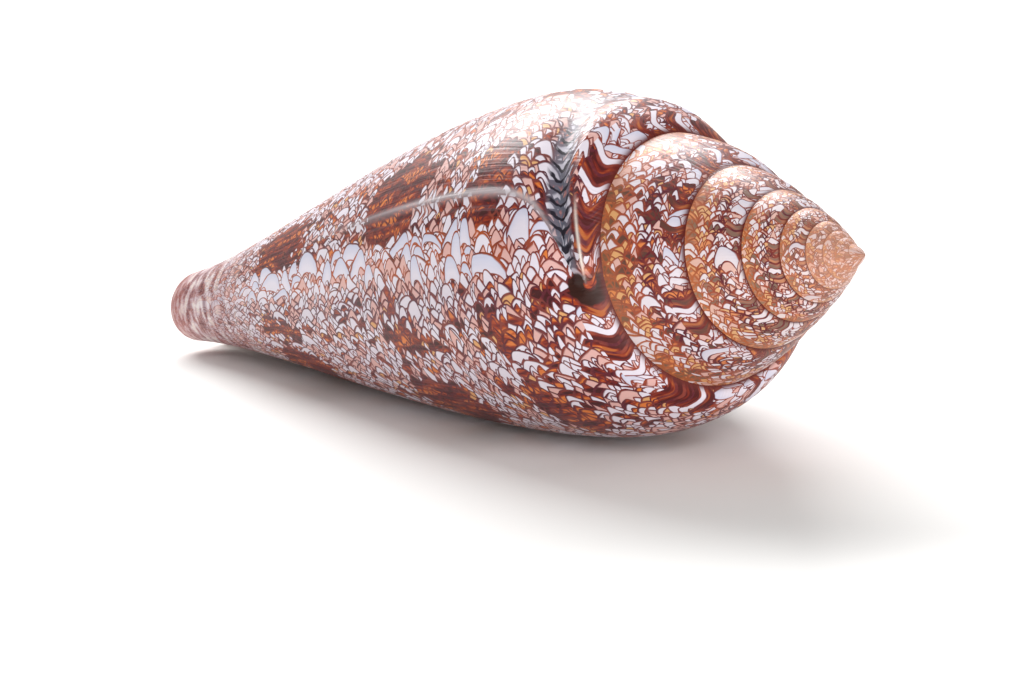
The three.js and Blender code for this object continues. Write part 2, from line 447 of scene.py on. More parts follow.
def grown_sheet(name, columns, rows):
    """A flat grid as a mesh, with its vertices' columns and rows and those of each face's corners."""
    sheet = bmesh.new()
    bmesh.ops.create_grid(sheet, x_segments=columns, y_segments=rows, size=0.5)
    mesh = bpy.data.meshes.new(name)
    sheet.to_mesh(mesh)
    sheet.free()
    flat = np.zeros(len(mesh.vertices) * 3)
    mesh.vertices.foreach_get("co", flat)
    flat = flat.reshape(-1, 3)
    column = np.rint((flat[:, 0] + 0.5) * columns).astype(int)
    row = np.rint((flat[:, 1] + 0.5) * rows).astype(int)
    corner = np.zeros(len(mesh.loops), int)
    mesh.loops.foreach_get("vertex_index", corner)
    return mesh, column, row, column[corner].reshape(-1, 4), row[corner].reshape(-1, 4)


def set_map(mesh, name, first, second):
    """Gives the mesh a UV map of two values for each corner."""
    layer = mesh.uv_layers.new(name=name)
    both = np.stack([np.ravel(first), np.ravel(second)], -1).astype(np.float32)
    layer.uv.foreach_set("vector", both.ravel())


def closed_mesh(mesh, points):
    """Bends the sheet to the points, joins its edges where they meet and closes its open ends."""
    mesh.vertices.foreach_set("co", points.astype(np.float32).ravel())
    body = bmesh.new()
    body.from_mesh(mesh)
    bmesh.ops.remove_doubles(body, verts=body.verts, dist=MERGE_MM)
    open_edges = [edge for edge in body.edges if edge.is_boundary]
    bmesh.ops.holes_fill(body, edges=open_edges, sides=0)
    bmesh.ops.triangulate(body, faces=body.faces)
    bmesh.ops.recalc_face_normals(body, faces=body.faces)
    body.to_mesh(mesh)
    body.free()
    return mesh


def outside_mesh(sizes):
    """The outside of all whorls, with the lip's edge and the face that closes it."""
    tops = len(TOP_PLACES)
    rows = WHORLS * tops + SIDE_ROWS
    columns = COLUMNS + RIM_COLUMNS + 1
    mesh, column, row, face_column, face_row = grown_sheet("outside", columns, rows)

    band = np.arange(rows + 1)
    whorl = np.maximum(WHORLS - 1 - band // tops, 0)
    side = band >= WHORLS * tops
    start_place = np.where(side, 1 + (band - WHORLS * tops) / SIDE_ROWS * (FRONT_PLACE - 1), 0)
    start_place = np.where(side, start_place, np.array(TOP_PLACES)[band % tops])
    end_place = np.append(start_place[1:], FRONT_PLACE)
    end_place = np.where(~side & (band % tops == tops - 1), 1, end_place)

    # The last columns turn the edge of the lip over, a quarter of a circle
    turn = np.clip((np.arange(columns + 1) - COLUMNS) / RIM_COLUMNS, 0, 1) * math.pi / 2
    edge = sizes.lip_edge * MM_PER_M
    rim_growth = edge / WIDEST_WHORL_MM
    grown = lerp(-1, -rim_growth, np.minimum(np.arange(columns + 1) / COLUMNS, 1))
    column_growth = grown + rim_growth * np.sin(turn)
    column_inset = edge * (1 - np.cos(turn))

    growth = column_growth[column]
    place = start_place[row]
    inset = np.where(whorl[row] == 0, column_inset[column], 0) * smoothstep(place, 0, EDGE_BEGINS)
    depth, radius = outside_point(growth - whorl[row], place, inset, sizes)
    last = column == columns
    face_depth, face_radius = outside_point(np.full(len(row), -1.0), place, np.zeros(len(row)), sizes)
    suture_depth, suture_radius = shoulder(-1.0)
    depth = np.where(last & side[row], face_depth, depth)
    radius = np.where(last & side[row], face_radius, radius)
    folded = last & ~side[row] & (whorl[row] == 0)
    depth = np.where(folded, suture_depth, depth)
    radius = np.where(folded, suture_radius, radius)

    first_row = face_row.min(1, keepdims=True)
    corner_place = np.where(face_row == first_row, start_place[first_row], end_place[first_row])
    corner_growth = column_growth[face_column] - whorl[first_row]
    set_map(mesh, "surface", along_mm(corner_growth), across_mm(corner_growth, corner_place))
    lip_face = face_column.min(1, keepdims=True) == columns - 1
    set_map(mesh, "growth", corner_growth, np.where(lip_face, -1, corner_place))
    return closed_mesh(mesh, placed(depth, radius, growth))


def halved(low, high, is_short, times):
    """Narrows low and high to where is_short turns false between them."""
    for _ in range(times):
        middle = (low + high) / 2
        short = is_short(middle)
        low, high = np.where(short, middle, low), np.where(short, high, middle)
    return low, high


def radius_at(growth, depth):
    """Outer radius of a whorl at a depth, without its relief."""
    low, high = np.zeros_like(depth), np.full_like(depth, FRONT_PLACE)
    low, high = halved(low, high, lambda place: profile(growth, place)[0] < depth, RADIUS_HALVINGS)
    return profile(growth, (low + high) / 2)[1]


def hollow_edges(growth, depth, sizes):
    """Outer and inner radius of the hollow at a depth."""
    reach = np.minimum(depth, LENGTH)
    thickening = FRONT_THICKENING * smoothstep(reach, FRONT_THICKENS, LENGTH)
    wall = lerp(PARTITION, sizes.lip_wall * MM_PER_M, smoothstep(growth, -1.1, -0.9)) + thickening
    outer = radius_at(growth, reach - TOP_WALL) - wall
    thinning = PILLAR_THINNING * smoothstep(reach, INNER_END, LENGTH)
    inner = (radius_at(growth - 1, reach) + GLAZE) * (1 - thinning)
    return outer, inner


def hollow_mesh(sizes):
    """The hollow as a solid to be cut away, a little longer than the shell at the lip and the front."""
    mesh, column, row, face_column, face_row = grown_sheet("hollow", HOLLOW_COLUMNS, 2 * HOLLOW_ROWS + 2)
    edge = sizes.lip_edge * MM_PER_M
    near = np.linspace(0, 1, LIP_COLUMNS) * edge * LIP_COLUMNS_END / WHORL_MM
    far = np.linspace(FIRST_HOLLOW_STEP, HOLLOW_WHORLS, HOLLOW_COLUMNS - LIP_COLUMNS)
    steps = np.concatenate([[-LIP_OVERSHOOT], near, far])
    growth = -steps[column]

    def closed(depth):
        outer, inner = hollow_edges(growth, depth, sizes)
        return outer < inner + LEAST_GAP

    start = halved(shoulder(growth - 1)[0] + TOP_WALL, shoulder(growth)[0], closed, START_HALVINGS)[1]
    opened = smoothstep(growth, FRONT_CLOSED_FROM, FRONT_OPEN_UNTIL)
    end = lerp(INNER_END, LENGTH + FRONT_OVERSHOOT, opened)
    ring = row % (2 * HOLLOW_ROWS + 2)
    on_outer = ring <= HOLLOW_ROWS
    share = np.where(on_outer, ring, 2 * HOLLOW_ROWS + 1 - ring) / HOLLOW_ROWS
    depth = lerp(start, end, share**ROW_CROWDING)
    outer, inner = hollow_edges(growth, depth, sizes)
    outer = np.maximum(outer, inner + LEAST_GAP)
    # The inner edge of the lip is turned over as the outer one is
    bite = np.clip(1 + growth * WHORL_MM / edge, 0, 1)
    outer = outer + INNER_EDGE * edge * (1 - np.sqrt(1 - bite * bite))
    radius = np.where(on_outer, outer, inner)
    face_growth = -steps[face_column]
    set_map(mesh, "surface", along_mm(face_growth), face_row * HOLLOW_ROW_MM)
    set_map(mesh, "growth", face_growth, np.full(face_row.shape, -2.0))
    return closed_mesh(mesh, placed(depth, radius, growth))


def linked(data):
    """A new object of a mesh, a lamp or a lens, in the scene."""
    made = bpy.data.objects.new(data.name, data)
    bpy.context.scene.collection.objects.link(made)
    return made


def cut_away(mesh, hollow):
    """The mesh less the hollow, as a new mesh."""
    whole, taken = linked(mesh), linked(hollow)
    cut = whole.modifiers.new("Hollow", "BOOLEAN")
    cut.operation = "DIFFERENCE"
    cut.solver = "MANIFOLD"
    cut.object = taken
    bpy.context.view_layer.update()
    result = bpy.data.meshes.new_from_object(whole.evaluated_get(bpy.context.evaluated_depsgraph_get()))
    for used in (whole, taken):
        bpy.data.objects.remove(used)
    return result


def laid_down(mesh):
    """Turns the shell to how it lies and sets it in the solid's box, scaled to stay inside it."""
    mesh.transform(Matrix.Rotation(-REST_TILT, 4, "Y") @ Matrix.Rotation(REST_ROLL, 4, "X"))
    points = np.zeros(len(mesh.vertices) * 3)
    mesh.vertices.foreach_get("co", points)
    points = points.reshape(-1, 3)
    low, high = Vector(points.min(0)), Vector(points.max(0))
    wanted_low, wanted_high = SHELL_BOX
    scale = min((b - a) / (d - c) for a, b, c, d in zip(wanted_low, wanted_high, low, high))
    middle = (low + high) / 2
    wanted = (wanted_low + wanted_high) / 2
    foot = Vector((middle.x, middle.y, low.z))
    target = Vector((wanted.x, wanted.y, wanted_low.z))
    mesh.transform(Matrix.Translation(target) @ Matrix.Scale(scale, 4) @ Matrix.Translation(-foot))


# Materials


def add(tree, kind, *inputs, named=None, stops=None, **settings):
    """Adds a node with its settings and links.

    A word after the kind is its operation, or for Mix what it mixes. Inputs are values, sockets or nodes, in
    the order of the open sockets or named. A node stands for its first open output. Stops are the places and
    colours of a colour ramp.
    """
    kind, _, word = kind.partition(" ")
    made = tree.nodes.new(kind if kind.startswith("NodeGroup") else "ShaderNode" + kind)
    if word:
        settings["data_type" if kind == "Mix" else "operation"] = word
    for name, value in settings.items():
        setattr(made, name, value)
    if stops:
        ramp = made.color_ramp
        ramp.elements.remove(ramp.elements[1])
        for k, (place, colour) in enumerate(stops):
            stop = ramp.elements.new(place) if k else ramp.elements[0]
            stop.position, stop.color = place, (*colour, 1)
    sockets = [socket for socket in made.inputs if socket.enabled]
    pairs = list(zip(sockets, inputs)) + [(made.inputs[name], value) for name, value in (named or {}).items()]
    for socket, value in pairs:
        if isinstance(value, bpy.types.Node):
            value = next(output for output in value.outputs if output.enabled)
        if isinstance(value, bpy.types.NodeSocket):
            tree.links.new(value, socket)
        elif socket.type == "RGBA":
            socket.default_value = (*value, 1)
        else:
            socket.default_value = value
    return made


def new_group(name, inputs, outputs):
    """An empty node group of plain numbers, with what adds a node to it and what it is given."""
    tree = bpy.data.node_groups.new(name, "ShaderNodeTree")
    for way, labels in (("INPUT", inputs), ("OUTPUT", outputs)):
        for label in labels:
            tree.interface.new_socket(label, in_out=way, socket_type="NodeSocketFloat")
    put = partial(add, tree)
    return tree, put, put("NodeGroupInput").outputs


def bell_group():
    """1 at the centre, falling away on both sides to a third at the width."""
    tree, put, given = new_group("bell", ("Value", "Centre", "Width"), ("Share",))
    off = put("Math SUBTRACT", given["Value"], given["Centre"])
    wide = put("Math DIVIDE", off, given["Width"])
    less = put("Math MULTIPLY", put("Math MULTIPLY", wide, wide), -1.0)
    put("NodeGroupOutput", put("Math EXPONENT", less))
    return tree


def growth_and_place_group():
    """Growth and place of a point given in millimetres along the whorl and across it."""
    tree, put, given = new_group("growth and place", ("Along", "Across"), ("Growth", "Place"))
    whorls = put("Math MULTIPLY", given["Along"], 1 / WHORL_MM)
    shrink = put("Math MULTIPLY_ADD", whorls, SPIRE_RATE, 1 + SPIRE_RATE)
    shrink = put("Math MAXIMUM", put("Math MINIMUM", shrink, 1.0), LEAST_SHRINK)
    older = put("Math MULTIPLY_ADD", put("Math LOGARITHM", shrink, math.e), 1 / SPIRE_RATE, -1.0)
    growth = put("Mix", put("Math LESS_THAN", whorls, -1.0), whorls, older)
    width = put("Math MULTIPLY", put("Math POWER", TOP_GROWTH, growth), TOP_MM)
    width = put("Math DIVIDE", width, shrink)
    width = put("Mix", put("Math GREATER_THAN", given["Across"], 0.0), width, SIDE_MM)
    put("NodeGroupOutput", growth, put("Math ADD", put("Math DIVIDE", given["Across"], width), 1.0))
    return tree


def shares_group(bell_tree):
    """Shares of brown, white and mauve at a point given in millimetres.

    They lie in rows across the growth, shifted a little from whorl to whorl. The side's blotches come where
    the rows meet the spiral bands. By the suture there are rows of their own, and between them and the
    shoulder a net, which is whiter on the body whorl.
    """
    tree, put, given = new_group("shares of the colours", ("Along", "Across"), ("Brown", "White", "Mauve"))
    found = put("Group", given["Along"], given["Across"], node_tree=growth_and_place_group()).outputs
    growth, place = found["Growth"], found["Place"]
    shift = put("Math MULTIPLY_ADD", put("Math FLOOR", growth), ROW_SHIFT, ROW_SHIFT)
    turn = put("Math FRACT", put("Math ADD", growth, shift))
    side_rows = put("SeparateColor", put("ValToRGB", turn, stops=SIDE_ROW_STOPS)).outputs
    top_rows = put("SeparateColor", put("ValToRGB", turn, stops=TOP_ROW_STOPS)).outputs
    on_top = put("MapRange", place, *SHOULDER_BEGINS, 1.0, 0.0)
    by_suture = put("MapRange", place, *TOP_ROWS_END, 1.0, 0.0)

    bands = None
    for centre, width in BROWN_BANDS:
        band = put("Group", place, centre, width, node_tree=bell_tree)
        bands = band if bands is None else put("Math MAXIMUM", bands, band)
    brown = put("MapRange", put("Math MULTIPLY", bands, side_rows[0]), 0.15, 0.6, 0.06, 0.9)
    brown = put("Math MULTIPLY_ADD", side_rows[0], 0.16, brown)
    net_white = put("Math MULTIPLY", side_rows[1], put("MapRange", growth, -1.05, -0.95, 0.35, 0.9))
    net_brown = put("Mix", by_suture, put("Math MULTIPLY_ADD", net_white, -0.4, 0.38), top_rows[0])
    brown = put("Mix", on_top, brown, net_brown)
    white = put("Mix", on_top, side_rows[1], put("Mix", by_suture, net_white, top_rows[1]))
    put("NodeGroupOutput", brown, white, put("Mix", on_top, side_rows[2], 0.5))
    return tree


def tent_group(shares_tree):
    """The tents of one row, side by side, each with its point towards the newer growth.

    Below the outline their sides are straight.
    Along and Across are counted in rows and tents. Depth is the distance in from the tent's outline in
    millimetres, less than 0 outside it, and Over the rows from the outline down. A tent is there only where
    the shares at its middle, times their weights, come over its own number.
    """
    tree, put, given = new_group("tents of one row", ("Along", "Across", "Row", *TENT_INPUTS), FOUND)
    row_number = put("Math MULTIPLY_ADD", given["Row"], ROW_NUMBERS, given["Seed"])
    noise = put("TexWhiteNoise", row_number, noise_dimensions="1D")
    offset = put("Math MULTIPLY", noise.outputs["Value"], MOST_OFFSET)
    across = put("Math ADD", offset, given["Across"])
    uneven = put("Math SINE", put("Math MULTIPLY", across, UNEVEN_TURN))
    across = put("Math MULTIPLY_ADD", uneven, UNEVEN_WIDTH, across)
    tent = put("Math FLOOR", across)
    inside = put("Math FRACT", across)
    noise = put("TexWhiteNoise", put("Math ADD", row_number, tent), noise_dimensions="1D")
    numbers = put("SeparateColor", noise.outputs["Color"]).outputs

    # How far down its slope this place is: 0 at the tent's point, 1 at its side
    point = put("Math MULTIPLY_ADD", numbers[0], POINT_SPREAD, (1 - POINT_SPREAD) / 2)
    left = put("Math DIVIDE", put("Math SUBTRACT", point, inside), point)
    right = put("Math DIVIDE", put("Math SUBTRACT", inside, point), put("Math SUBTRACT", 1.0, point))
    down = put("Math MAXIMUM", left, right)

    # The outline lies between a straight slope and an arch, on sides one row tall
    arch = put("Math MULTIPLY_ADD", numbers[1], ARCH_SPREAD, given["Roundness"])
    fall = put("Math POWER", down, arch)
    tall = put("Math MULTIPLY_ADD", numbers[2], TALL_SPREAD, LEAST_TALL)
    top = put("Math MULTIPLY_ADD", put("Math SUBTRACT", 1.0, fall), tall, 1.0)
    over = put("Math SUBTRACT", top, put("Math SUBTRACT", given["Along"], given["Row"]))

    # Distance to the outline: the height up to it, times the cosine of its slope, or the way to a side
    steep = put("Math DIVIDE", fall, put("Math MAXIMUM", down, 0.05))
    steep = put("Math MULTIPLY", put("Math MULTIPLY", steep, arch), tall)
    steepness = put("Math DIVIDE", put("Math MULTIPLY", given["Height"], 2.0), given["Width"])
    steep = put("Math MULTIPLY", steep, steepness)
    slant = put("Math SQRT", put("Math MULTIPLY_ADD", steep, steep, 1.0))
    depth = put("Math DIVIDE", put("Math MULTIPLY", over, given["Height"]), slant)
    beside = put("Math MINIMUM", put("Math SUBTRACT", 1.0, inside), inside)
    beside = put("Math MULTIPLY", put("Math MULTIPLY", beside, 2.0), given["Width"])
    depth = put("Math MINIMUM", depth, beside)

    # Whether the tent is there. Where it isn't, the depth falls far below 0.
    middle_along = put("Math MULTIPLY", put("Math ADD", given["Row"], 1.0), given["Height"])
    middle_across = put("Math SUBTRACT", put("Math ADD", tent, 0.5), offset)
    middle_across = put("Math MULTIPLY", middle_across, given["Width"])
    shares = put("Group", middle_along, middle_across, node_tree=shares_tree).outputs
    likely = put("Math MULTIPLY_ADD", shares["White"], given["By white"], given["Least"])
    likely = put("Math MULTIPLY_ADD", shares["Brown"], given["By brown"], likely)
    own = put("Math FRACT", put("Math MULTIPLY", numbers[1], OWN_DRAW))
    depth = put("Math MINIMUM", depth, put("Math MULTIPLY", put("Math SUBTRACT", likely, own), 1000.0))
    tone = put("Math FRACT", put("Math MULTIPLY", numbers[0], TONE_DRAW))
    base = put("Math MULTIPLY", given["Row"], given["Height"])
    put("NodeGroupOutput", depth, over, base, tone, numbers[1], numbers[2], shares["Brown"], shares["Mauve"])
    return tree


def tent_rows_group(tents_tree):
    """Rows of tents that overlap like scales, the older row in front. Base is where the row found starts."""
    tree, put, given = new_group("overlapping tent rows", ("Along", "Across", *TENT_INPUTS), FOUND)
    along = put("Math DIVIDE", given["Along"], given["Height"])
    across = put("Math DIVIDE", given["Across"], given["Width"])
    row = put("Math FLOOR", along)
    kept = [given[name] for name in TENT_INPUTS]
    best = None
    for _ in range(ROWS_SEEN):
        these = put("Group", along, across, row, *kept, node_tree=tents_tree).outputs
        if best:
            front = put("Math GREATER_THAN", these["Depth"], 0.0)
            best = [put("Mix", front, newer, older) for newer, older in zip(best, these)]
        else:
            best = list(these)
        row = put("Math SUBTRACT", row, 1.0)
    put("NodeGroupOutput", *best)
    return tree


def healed_break(put, band, growth, place):
    """Millimetres of growth since the break healed, at the place where it crosses."""
    notch = band(place, NOTCH_PLACE, NOTCH_WIDTH)
    start = (BREAK_ANGLE - LIP_DEGREES) / 360 - 1
    since = put("Math MULTIPLY_ADD", notch, NOTCH_ANGLE / 360, -start)
    return put("Math MULTIPLY", put("Math ADD", since, growth), WHORL_MM)


def off_channel(put, growth, place):
    """Places outwards from the middle of the channel."""
    wander = (BREAK_ENDS, KEEL_SETTLES, KEEL_FIRST_PLACE, KEEL_LAST_PLACE)
    crest = put("MapRange", growth, *wander, interpolation_type="SMOOTHSTEP")
    return put("Math SUBTRACT", place, put("Math ADD", crest, CHANNEL_OFFSET))


def growing_edge(put, band, surface, growth, place, healed, channel_off):
    """Moves the map so that the lines of growth wander, sag by the suture and make a V in the channel."""
    wander = put("TexNoise", surface, named={"Scale": 1 / WANDER_MM, "Detail": 2.0}, noise_dimensions="2D")
    wander = put("VectorMath SUBTRACT", wander.outputs["Color"], (0.5, 0.5, 0.5))
    wander = put("VectorMath SCALE", wander, named={"Scale": WANDER_REACH_MM})
    deeper = put("MapRange", growth, BREAK_ENDS, SAG_SETTLES, SAG_MM, 0.0)
    deeper = put("Math MULTIPLY_ADD", deeper, healed, SAG_MM)
    sag = put("Math MULTIPLY", band(place, *SAG), deeper)
    sag = put("Math MULTIPLY", sag, put("Math POWER", TOP_GROWTH, growth))
    left = put("MapRange", channel_off, -0.17, 0.0)
    right = put("MapRange", channel_off, 0.0, 0.3, 1.0, 0.0)
    bend = put("Math MULTIPLY", put("Math MINIMUM", left, right), healed)
    back = put("Math MULTIPLY_ADD", bend, CHANNEL_BEND_MM, sag)
    step = put("Math MULTIPLY", healed, BREAK_STEP_MM)
    moved = put("VectorMath ADD", surface, wander)
    return put("VectorMath ADD", moved, put("CombineXYZ", back, step))


def laid_among(put, fill, depth, base, larger, larger_fill, larger_depth):
    """The fill and depth with larger tents laid in where they are older, and where they show."""
    older = put("Math LESS_THAN", larger["Base"], base)
    shown = put("Math MULTIPLY", put("Math GREATER_THAN", larger_depth, 0.0), older)
    return put("Mix RGBA", shown, fill, larger_fill), put("Mix", shown, depth, larger_depth), shown


def tents(put, moved, bars, net, colours, browns, shares_tree):
    """Three sizes of tents: a net of small ones everywhere, and larger ones among it in the white rows.

    Gives the colour of the fill, the distance in from the outline and the shares at the place itself.
    """
    rows_tree = tent_rows_group(tent_group(shares_tree))
    parts = put("SeparateXYZ", moved).outputs
    place = (parts[0], parts[1])
    small, middle, large = (put("Group", *place, *size, node_tree=rows_tree).outputs for size in TENT_SIZES)

    # Small: brown by its share, and else white, pink or orange
    pink = put("Math LESS_THAN", small["Second"], PINK_SMALL)
    fill = put("Mix RGBA", pink, colours.white, colours.pink)
    orange = put("Math MULTIPLY_ADD", net, 0.3, put("Math MULTIPLY", small["Brown"], 0.35))
    fill = put("Mix RGBA", put("Math LESS_THAN", small["Third"], orange), fill, colours.orange)
    fill = put("Mix RGBA", put("Math LESS_THAN", small["Tone"], small["Brown"]), fill, browns)
    depth, base = small["Depth"], small["Base"]

    # Middle: white, some pink
    pink = put("Math LESS_THAN", middle["Second"], PINK_MIDDLE)
    middle_fill = put("Mix RGBA", pink, colours.white, colours.pink)
    fill, depth, shown = laid_among(put, fill, depth, base, middle, middle_fill, middle["Depth"])
    base = put("Mix", shown, base, middle["Base"])

    # Large: a white arch with blue in it, and often smaller tents in its hollow
    hollow = put("Math MULTIPLY_ADD", large["Third"], 1.5, 0.6)
    hollow = put("Math MULTIPLY", put("Math SUBTRACT", hollow, large["Over"]), 2.0)
    large_depth = put("Math MINIMUM", large["Depth"], hollow)
    blue = put("MapRange", large["Over"], 0.2, 1.2, 0.7, 0.1)
    large_fill = put("Mix RGBA", blue, colours.white, colours.blue)
    fill, depth, _ = laid_among(put, fill, depth, base, large, large_fill, large_depth)

    # Bars across the strip by the suture, in place of some rows of tents
    bar = put("Math DIVIDE", parts[0], BAR_MM)
    bar_row = put("Math FLOOR", bar)
    bar_noise = put("TexWhiteNoise", bar_row, noise_dimensions="1D")
    numbers = put("SeparateColor", bar_noise.outputs["Color"]).outputs
    bar_middle = put("Math MULTIPLY", put("Math ADD", bar_row, 0.5), BAR_MM)
    bar_brown = put("Group", bar_middle, parts[1], node_tree=shares_tree).outputs["Brown"]
    bar_depth = put("Math MULTIPLY", put("Math PINGPONG", bar, 0.5), BAR_MM)
    shown = put("Math MULTIPLY", put("Math MULTIPLY_ADD", bar_brown, 1.3, 0.04), bars)
    shown = put("Math LESS_THAN", numbers[0], shown)
    brown = put("Math LESS_THAN", numbers[1], put("Math MULTIPLY", bar_brown, 1.6))
    bar_fill = put("Mix RGBA", brown, colours.white, put("Mix RGBA", 0.4, browns, colours.line))
    fill = put("Mix RGBA", shown, fill, bar_fill)
    depth = put("Mix", shown, depth, bar_depth)
    return fill, depth, put("Group", *place, node_tree=shares_tree).outputs


def porcelain_shell(colours):
    """Aragonite laid down by the mantle and naturally glazed, with its pigment in the glaze.

    It gives the eye a smooth gloss over a net of fine brown lines, with white tents of three sizes,
    brown blotches in rows round the whorls and fine growth lines under the shine.
    """
    material = bpy.data.materials.new("aragonite shell, grown and naturally glazed")
    material.use_nodes = True
    tree = material.node_tree
    tree.nodes.clear()
    put = partial(add, tree)
    bell_tree = bell_group()

    def band(value, centre, width):
        """1 on the middle of a band, falling away to its sides."""
        return put("Group", value, centre, width, node_tree=bell_tree)

    def streaks(flat_map, per_mm):
        """Noise that is drawn out into streaks."""
        drawn_out = put("VectorMath MULTIPLY", flat_map, per_mm)
        return put("TexNoise", drawn_out, named=FINE_NOISE, noise_dimensions="2D")

    surface = put("UVMap", uv_map="surface")
    growth, place, _ = put("SeparateXYZ", put("UVMap", uv_map="growth")).outputs
    on_top = put("Math LESS_THAN", place, 1.0)

    since = healed_break(put, band, growth, place)
    healed = put("Math GREATER_THAN", since, 0.0)
    channel_off = off_channel(put, growth, place)
    moved = growing_edge(put, band, surface, growth, place, healed, channel_off)

    # Brown of the blotches, in streaks that follow the growing edge
    browns = put("ValToRGB", streaks(moved, BROWN_STREAKS), stops=BROWN_STOPS)

    # Zones of the tops: bars by the suture, a dark strip, a fine orange net on the older whorls, the channel
    bars = put("Math MULTIPLY", put("MapRange", place, *BARS_END, 1.0, 0.0), on_top)
    bars = put("Math MULTIPLY", bars, put("MapRange", growth, -0.95, -1.3, 0.95, 0.5))
    net = put("Math MULTIPLY", put("MapRange", place, *NET_BEGINS), on_top)
    net = put("Math MULTIPLY", net, put("MapRange", growth, -0.9, -1.1))
    strip = put("Math MULTIPLY", band(place, *STRIP), put("MapRange", growth, -0.8, -1.1, 0.3, 0.8))
    in_channel = put("Math MULTIPLY", band(channel_off, 0.0, 0.1), on_top)
    in_channel = put("Math MULTIPLY", in_channel, healed)
    in_channel = put("Math MULTIPLY", in_channel, put("MapRange", growth, -0.5, -0.4, 1.0, 0.4))

    fill, depth, shares = tents(put, moved, bars, net, colours, browns, shares_group(bell_tree))

    # Outlines of the tents, wider where it is brown or mauve, in the strip and in the channel
    line_noise = put("TexNoise", surface, named={"Scale": 0.6, "Detail": 2.0}, noise_dimensions="2D")
    line_width = put("MapRange", line_noise, 0.3, 0.7, *LINE_MM)
    for share, wider in ((shares["Brown"], 0.08), (shares["Mauve"], 0.06), (strip, 0.12), (in_channel, 0.2)):
        line_width = put("Math MULTIPLY_ADD", share, wider, line_width)
    line_start = put("Math MULTIPLY", line_width, LINE_CORE)
    line = put("MapRange", depth, line_start, line_width, 1.0, 0.0, interpolation_type="SMOOTHSTEP")

    # They are light in the white rows and the net, mauve in some rows and nearly black in the channel
    light = put("MapRange", line_noise, 0.35, 0.65, -0.3, 0.4)
    light = put("Math MULTIPLY_ADD", shares["White"], 0.5, light)
    light = put("Math MULTIPLY_ADD", net, 0.8, light, use_clamp=True)
    line_colour = put("Mix RGBA", light, colours.line, colours.light_line)
    line_colour = put("Mix RGBA", put("Math MULTIPLY", shares["Mauve"], 0.8), line_colour, colours.mauve)
    line_colour = put("Mix RGBA", in_channel, line_colour, colours.channel_line)

    # Dark strokes that meet in a V along the channel, on blue grey and a dark wash of painted shade
    strokes = put("Math MULTIPLY_ADD", line_noise, 1.4, put("SeparateXYZ", moved))
    strokes = put("Math PINGPONG", strokes, STROKE_SPACING_MM / 2)
    strokes = put("MapRange", strokes, *STROKE_MM, 1.0, 0.0, interpolation_type="SMOOTHSTEP")
    strokes_and_channel_shade = put("MapRange", in_channel, 0.3, 0.6)

    # The seam of the break
    seam_begun = put("MapRange", place, *SEAM_COLOUR_BEGINS, 0.0, 0.8)
    seam_shown = put("Math MULTIPLY", seam_begun, put("MapRange", place, *SEAM_COLOUR_ENDS, 1.0, 0.0))

    # A painted highlight along the crest of the keel where it begins
    crest = put("MapRange", growth, -0.51, -0.55, 0.0, 0.9)
    crest = put("Math MULTIPLY", band(channel_off, -CHANNEL_OFFSET, CREST_HIGHLIGHT_WIDTH), crest)
    crest = put("Math MULTIPLY", crest, put("MapRange", growth, -0.61, -0.6))

    # The pit: brown in the middle, with a ragged crescent of painted shade, open towards the newer growth
    pit_across = put("Math MULTIPLY_ADD", place, PIT_TOP_MM, -PIT_PLACE * PIT_TOP_MM)
    pit_along = put("Math MULTIPLY_ADD", growth, WHORL_MM, -PIT_GROWTH * WHORL_MM)
    off_pit = put("VectorMath LENGTH", put("CombineXYZ", pit_across, pit_along)).outputs["Value"]
    ragged = put("Math MULTIPLY_ADD", put("Math SUBTRACT", line_noise, 0.5), 1.4, off_pit)
    crescent = put("MapRange", pit_along, 1.8, 0.2)
    crescent = put("Math MULTIPLY", band(ragged, *SHADE_CRESCENT_MM), crescent)

    # Soft streaks along the fine spiral threads at the front
    front_skin = put("ValToRGB", streaks(surface, FRONT_THREADS), stops=FRONT_STOPS)

    # Layers of the skin from the bottom up. The sutures have an orange rim on the older whorl and a dark line
    # on the newer one, which is painted shade in the crease. The first whorls are worn to salmon, and the net
    # runs out towards the front.
    spire = put("MapRange", growth, -1.1, -2.6)
    rim = put("Math MULTIPLY", band(place, 1.0, RIM_WIDTH), put("Math LESS_THAN", growth, -1.0))
    skin = fill
    for share, colour in (
        (put("Math MULTIPLY", spire, 0.2), colours.cream),
        (put("Math MULTIPLY", shares["Mauve"], 0.2), colours.mauve),
        (line, line_colour),
        # Blue grey and a darker wash over the channel: painted shade in the furrow
        (put("Math MULTIPLY", strokes_and_channel_shade, 0.25), colours.blue),
        (put("Math MULTIPLY", strokes_and_channel_shade, 0.3), colours.channel_line),
        (put("Math MULTIPLY", strokes, strokes_and_channel_shade), colours.channel_line),
        (put("Math MULTIPLY", band(since, *SEAM_MM), seam_shown), colours.seam),
        # A pale line of painted highlight along the keel's crest
        (crest, colours.crest),
        (put("Math MULTIPLY", band(off_pit, 0.0, PIT_MIDDLE_MM), 0.85), browns),
        # The crescent in the pit is painted shade in its hollow
        (put("MapRange", crescent, 0.35, 0.55), colours.pit),
        (put("Math MULTIPLY", rim, 0.16), colours.orange),
        # A dark line of painted shade in the crease by each suture
        (put("Math MULTIPLY", band(place, 0.0, SUTURE_SHADE_WIDTH), on_top), colours.line),
        (put("MapRange", growth, *WORN_GROWTH, 0.0, 0.5), colours.salmon),
        (put("MapRange", place, *NET_RUNS_OUT, 0.0, 0.85), front_skin),
        (put("MapRange", place, *TIP_REDDENS, 0.0, 0.7), colours.tip),
        (put("Math LESS_THAN", place, -0.5), colours.inside),
    ):
        skin = put("Mix RGBA", share, skin, colour)

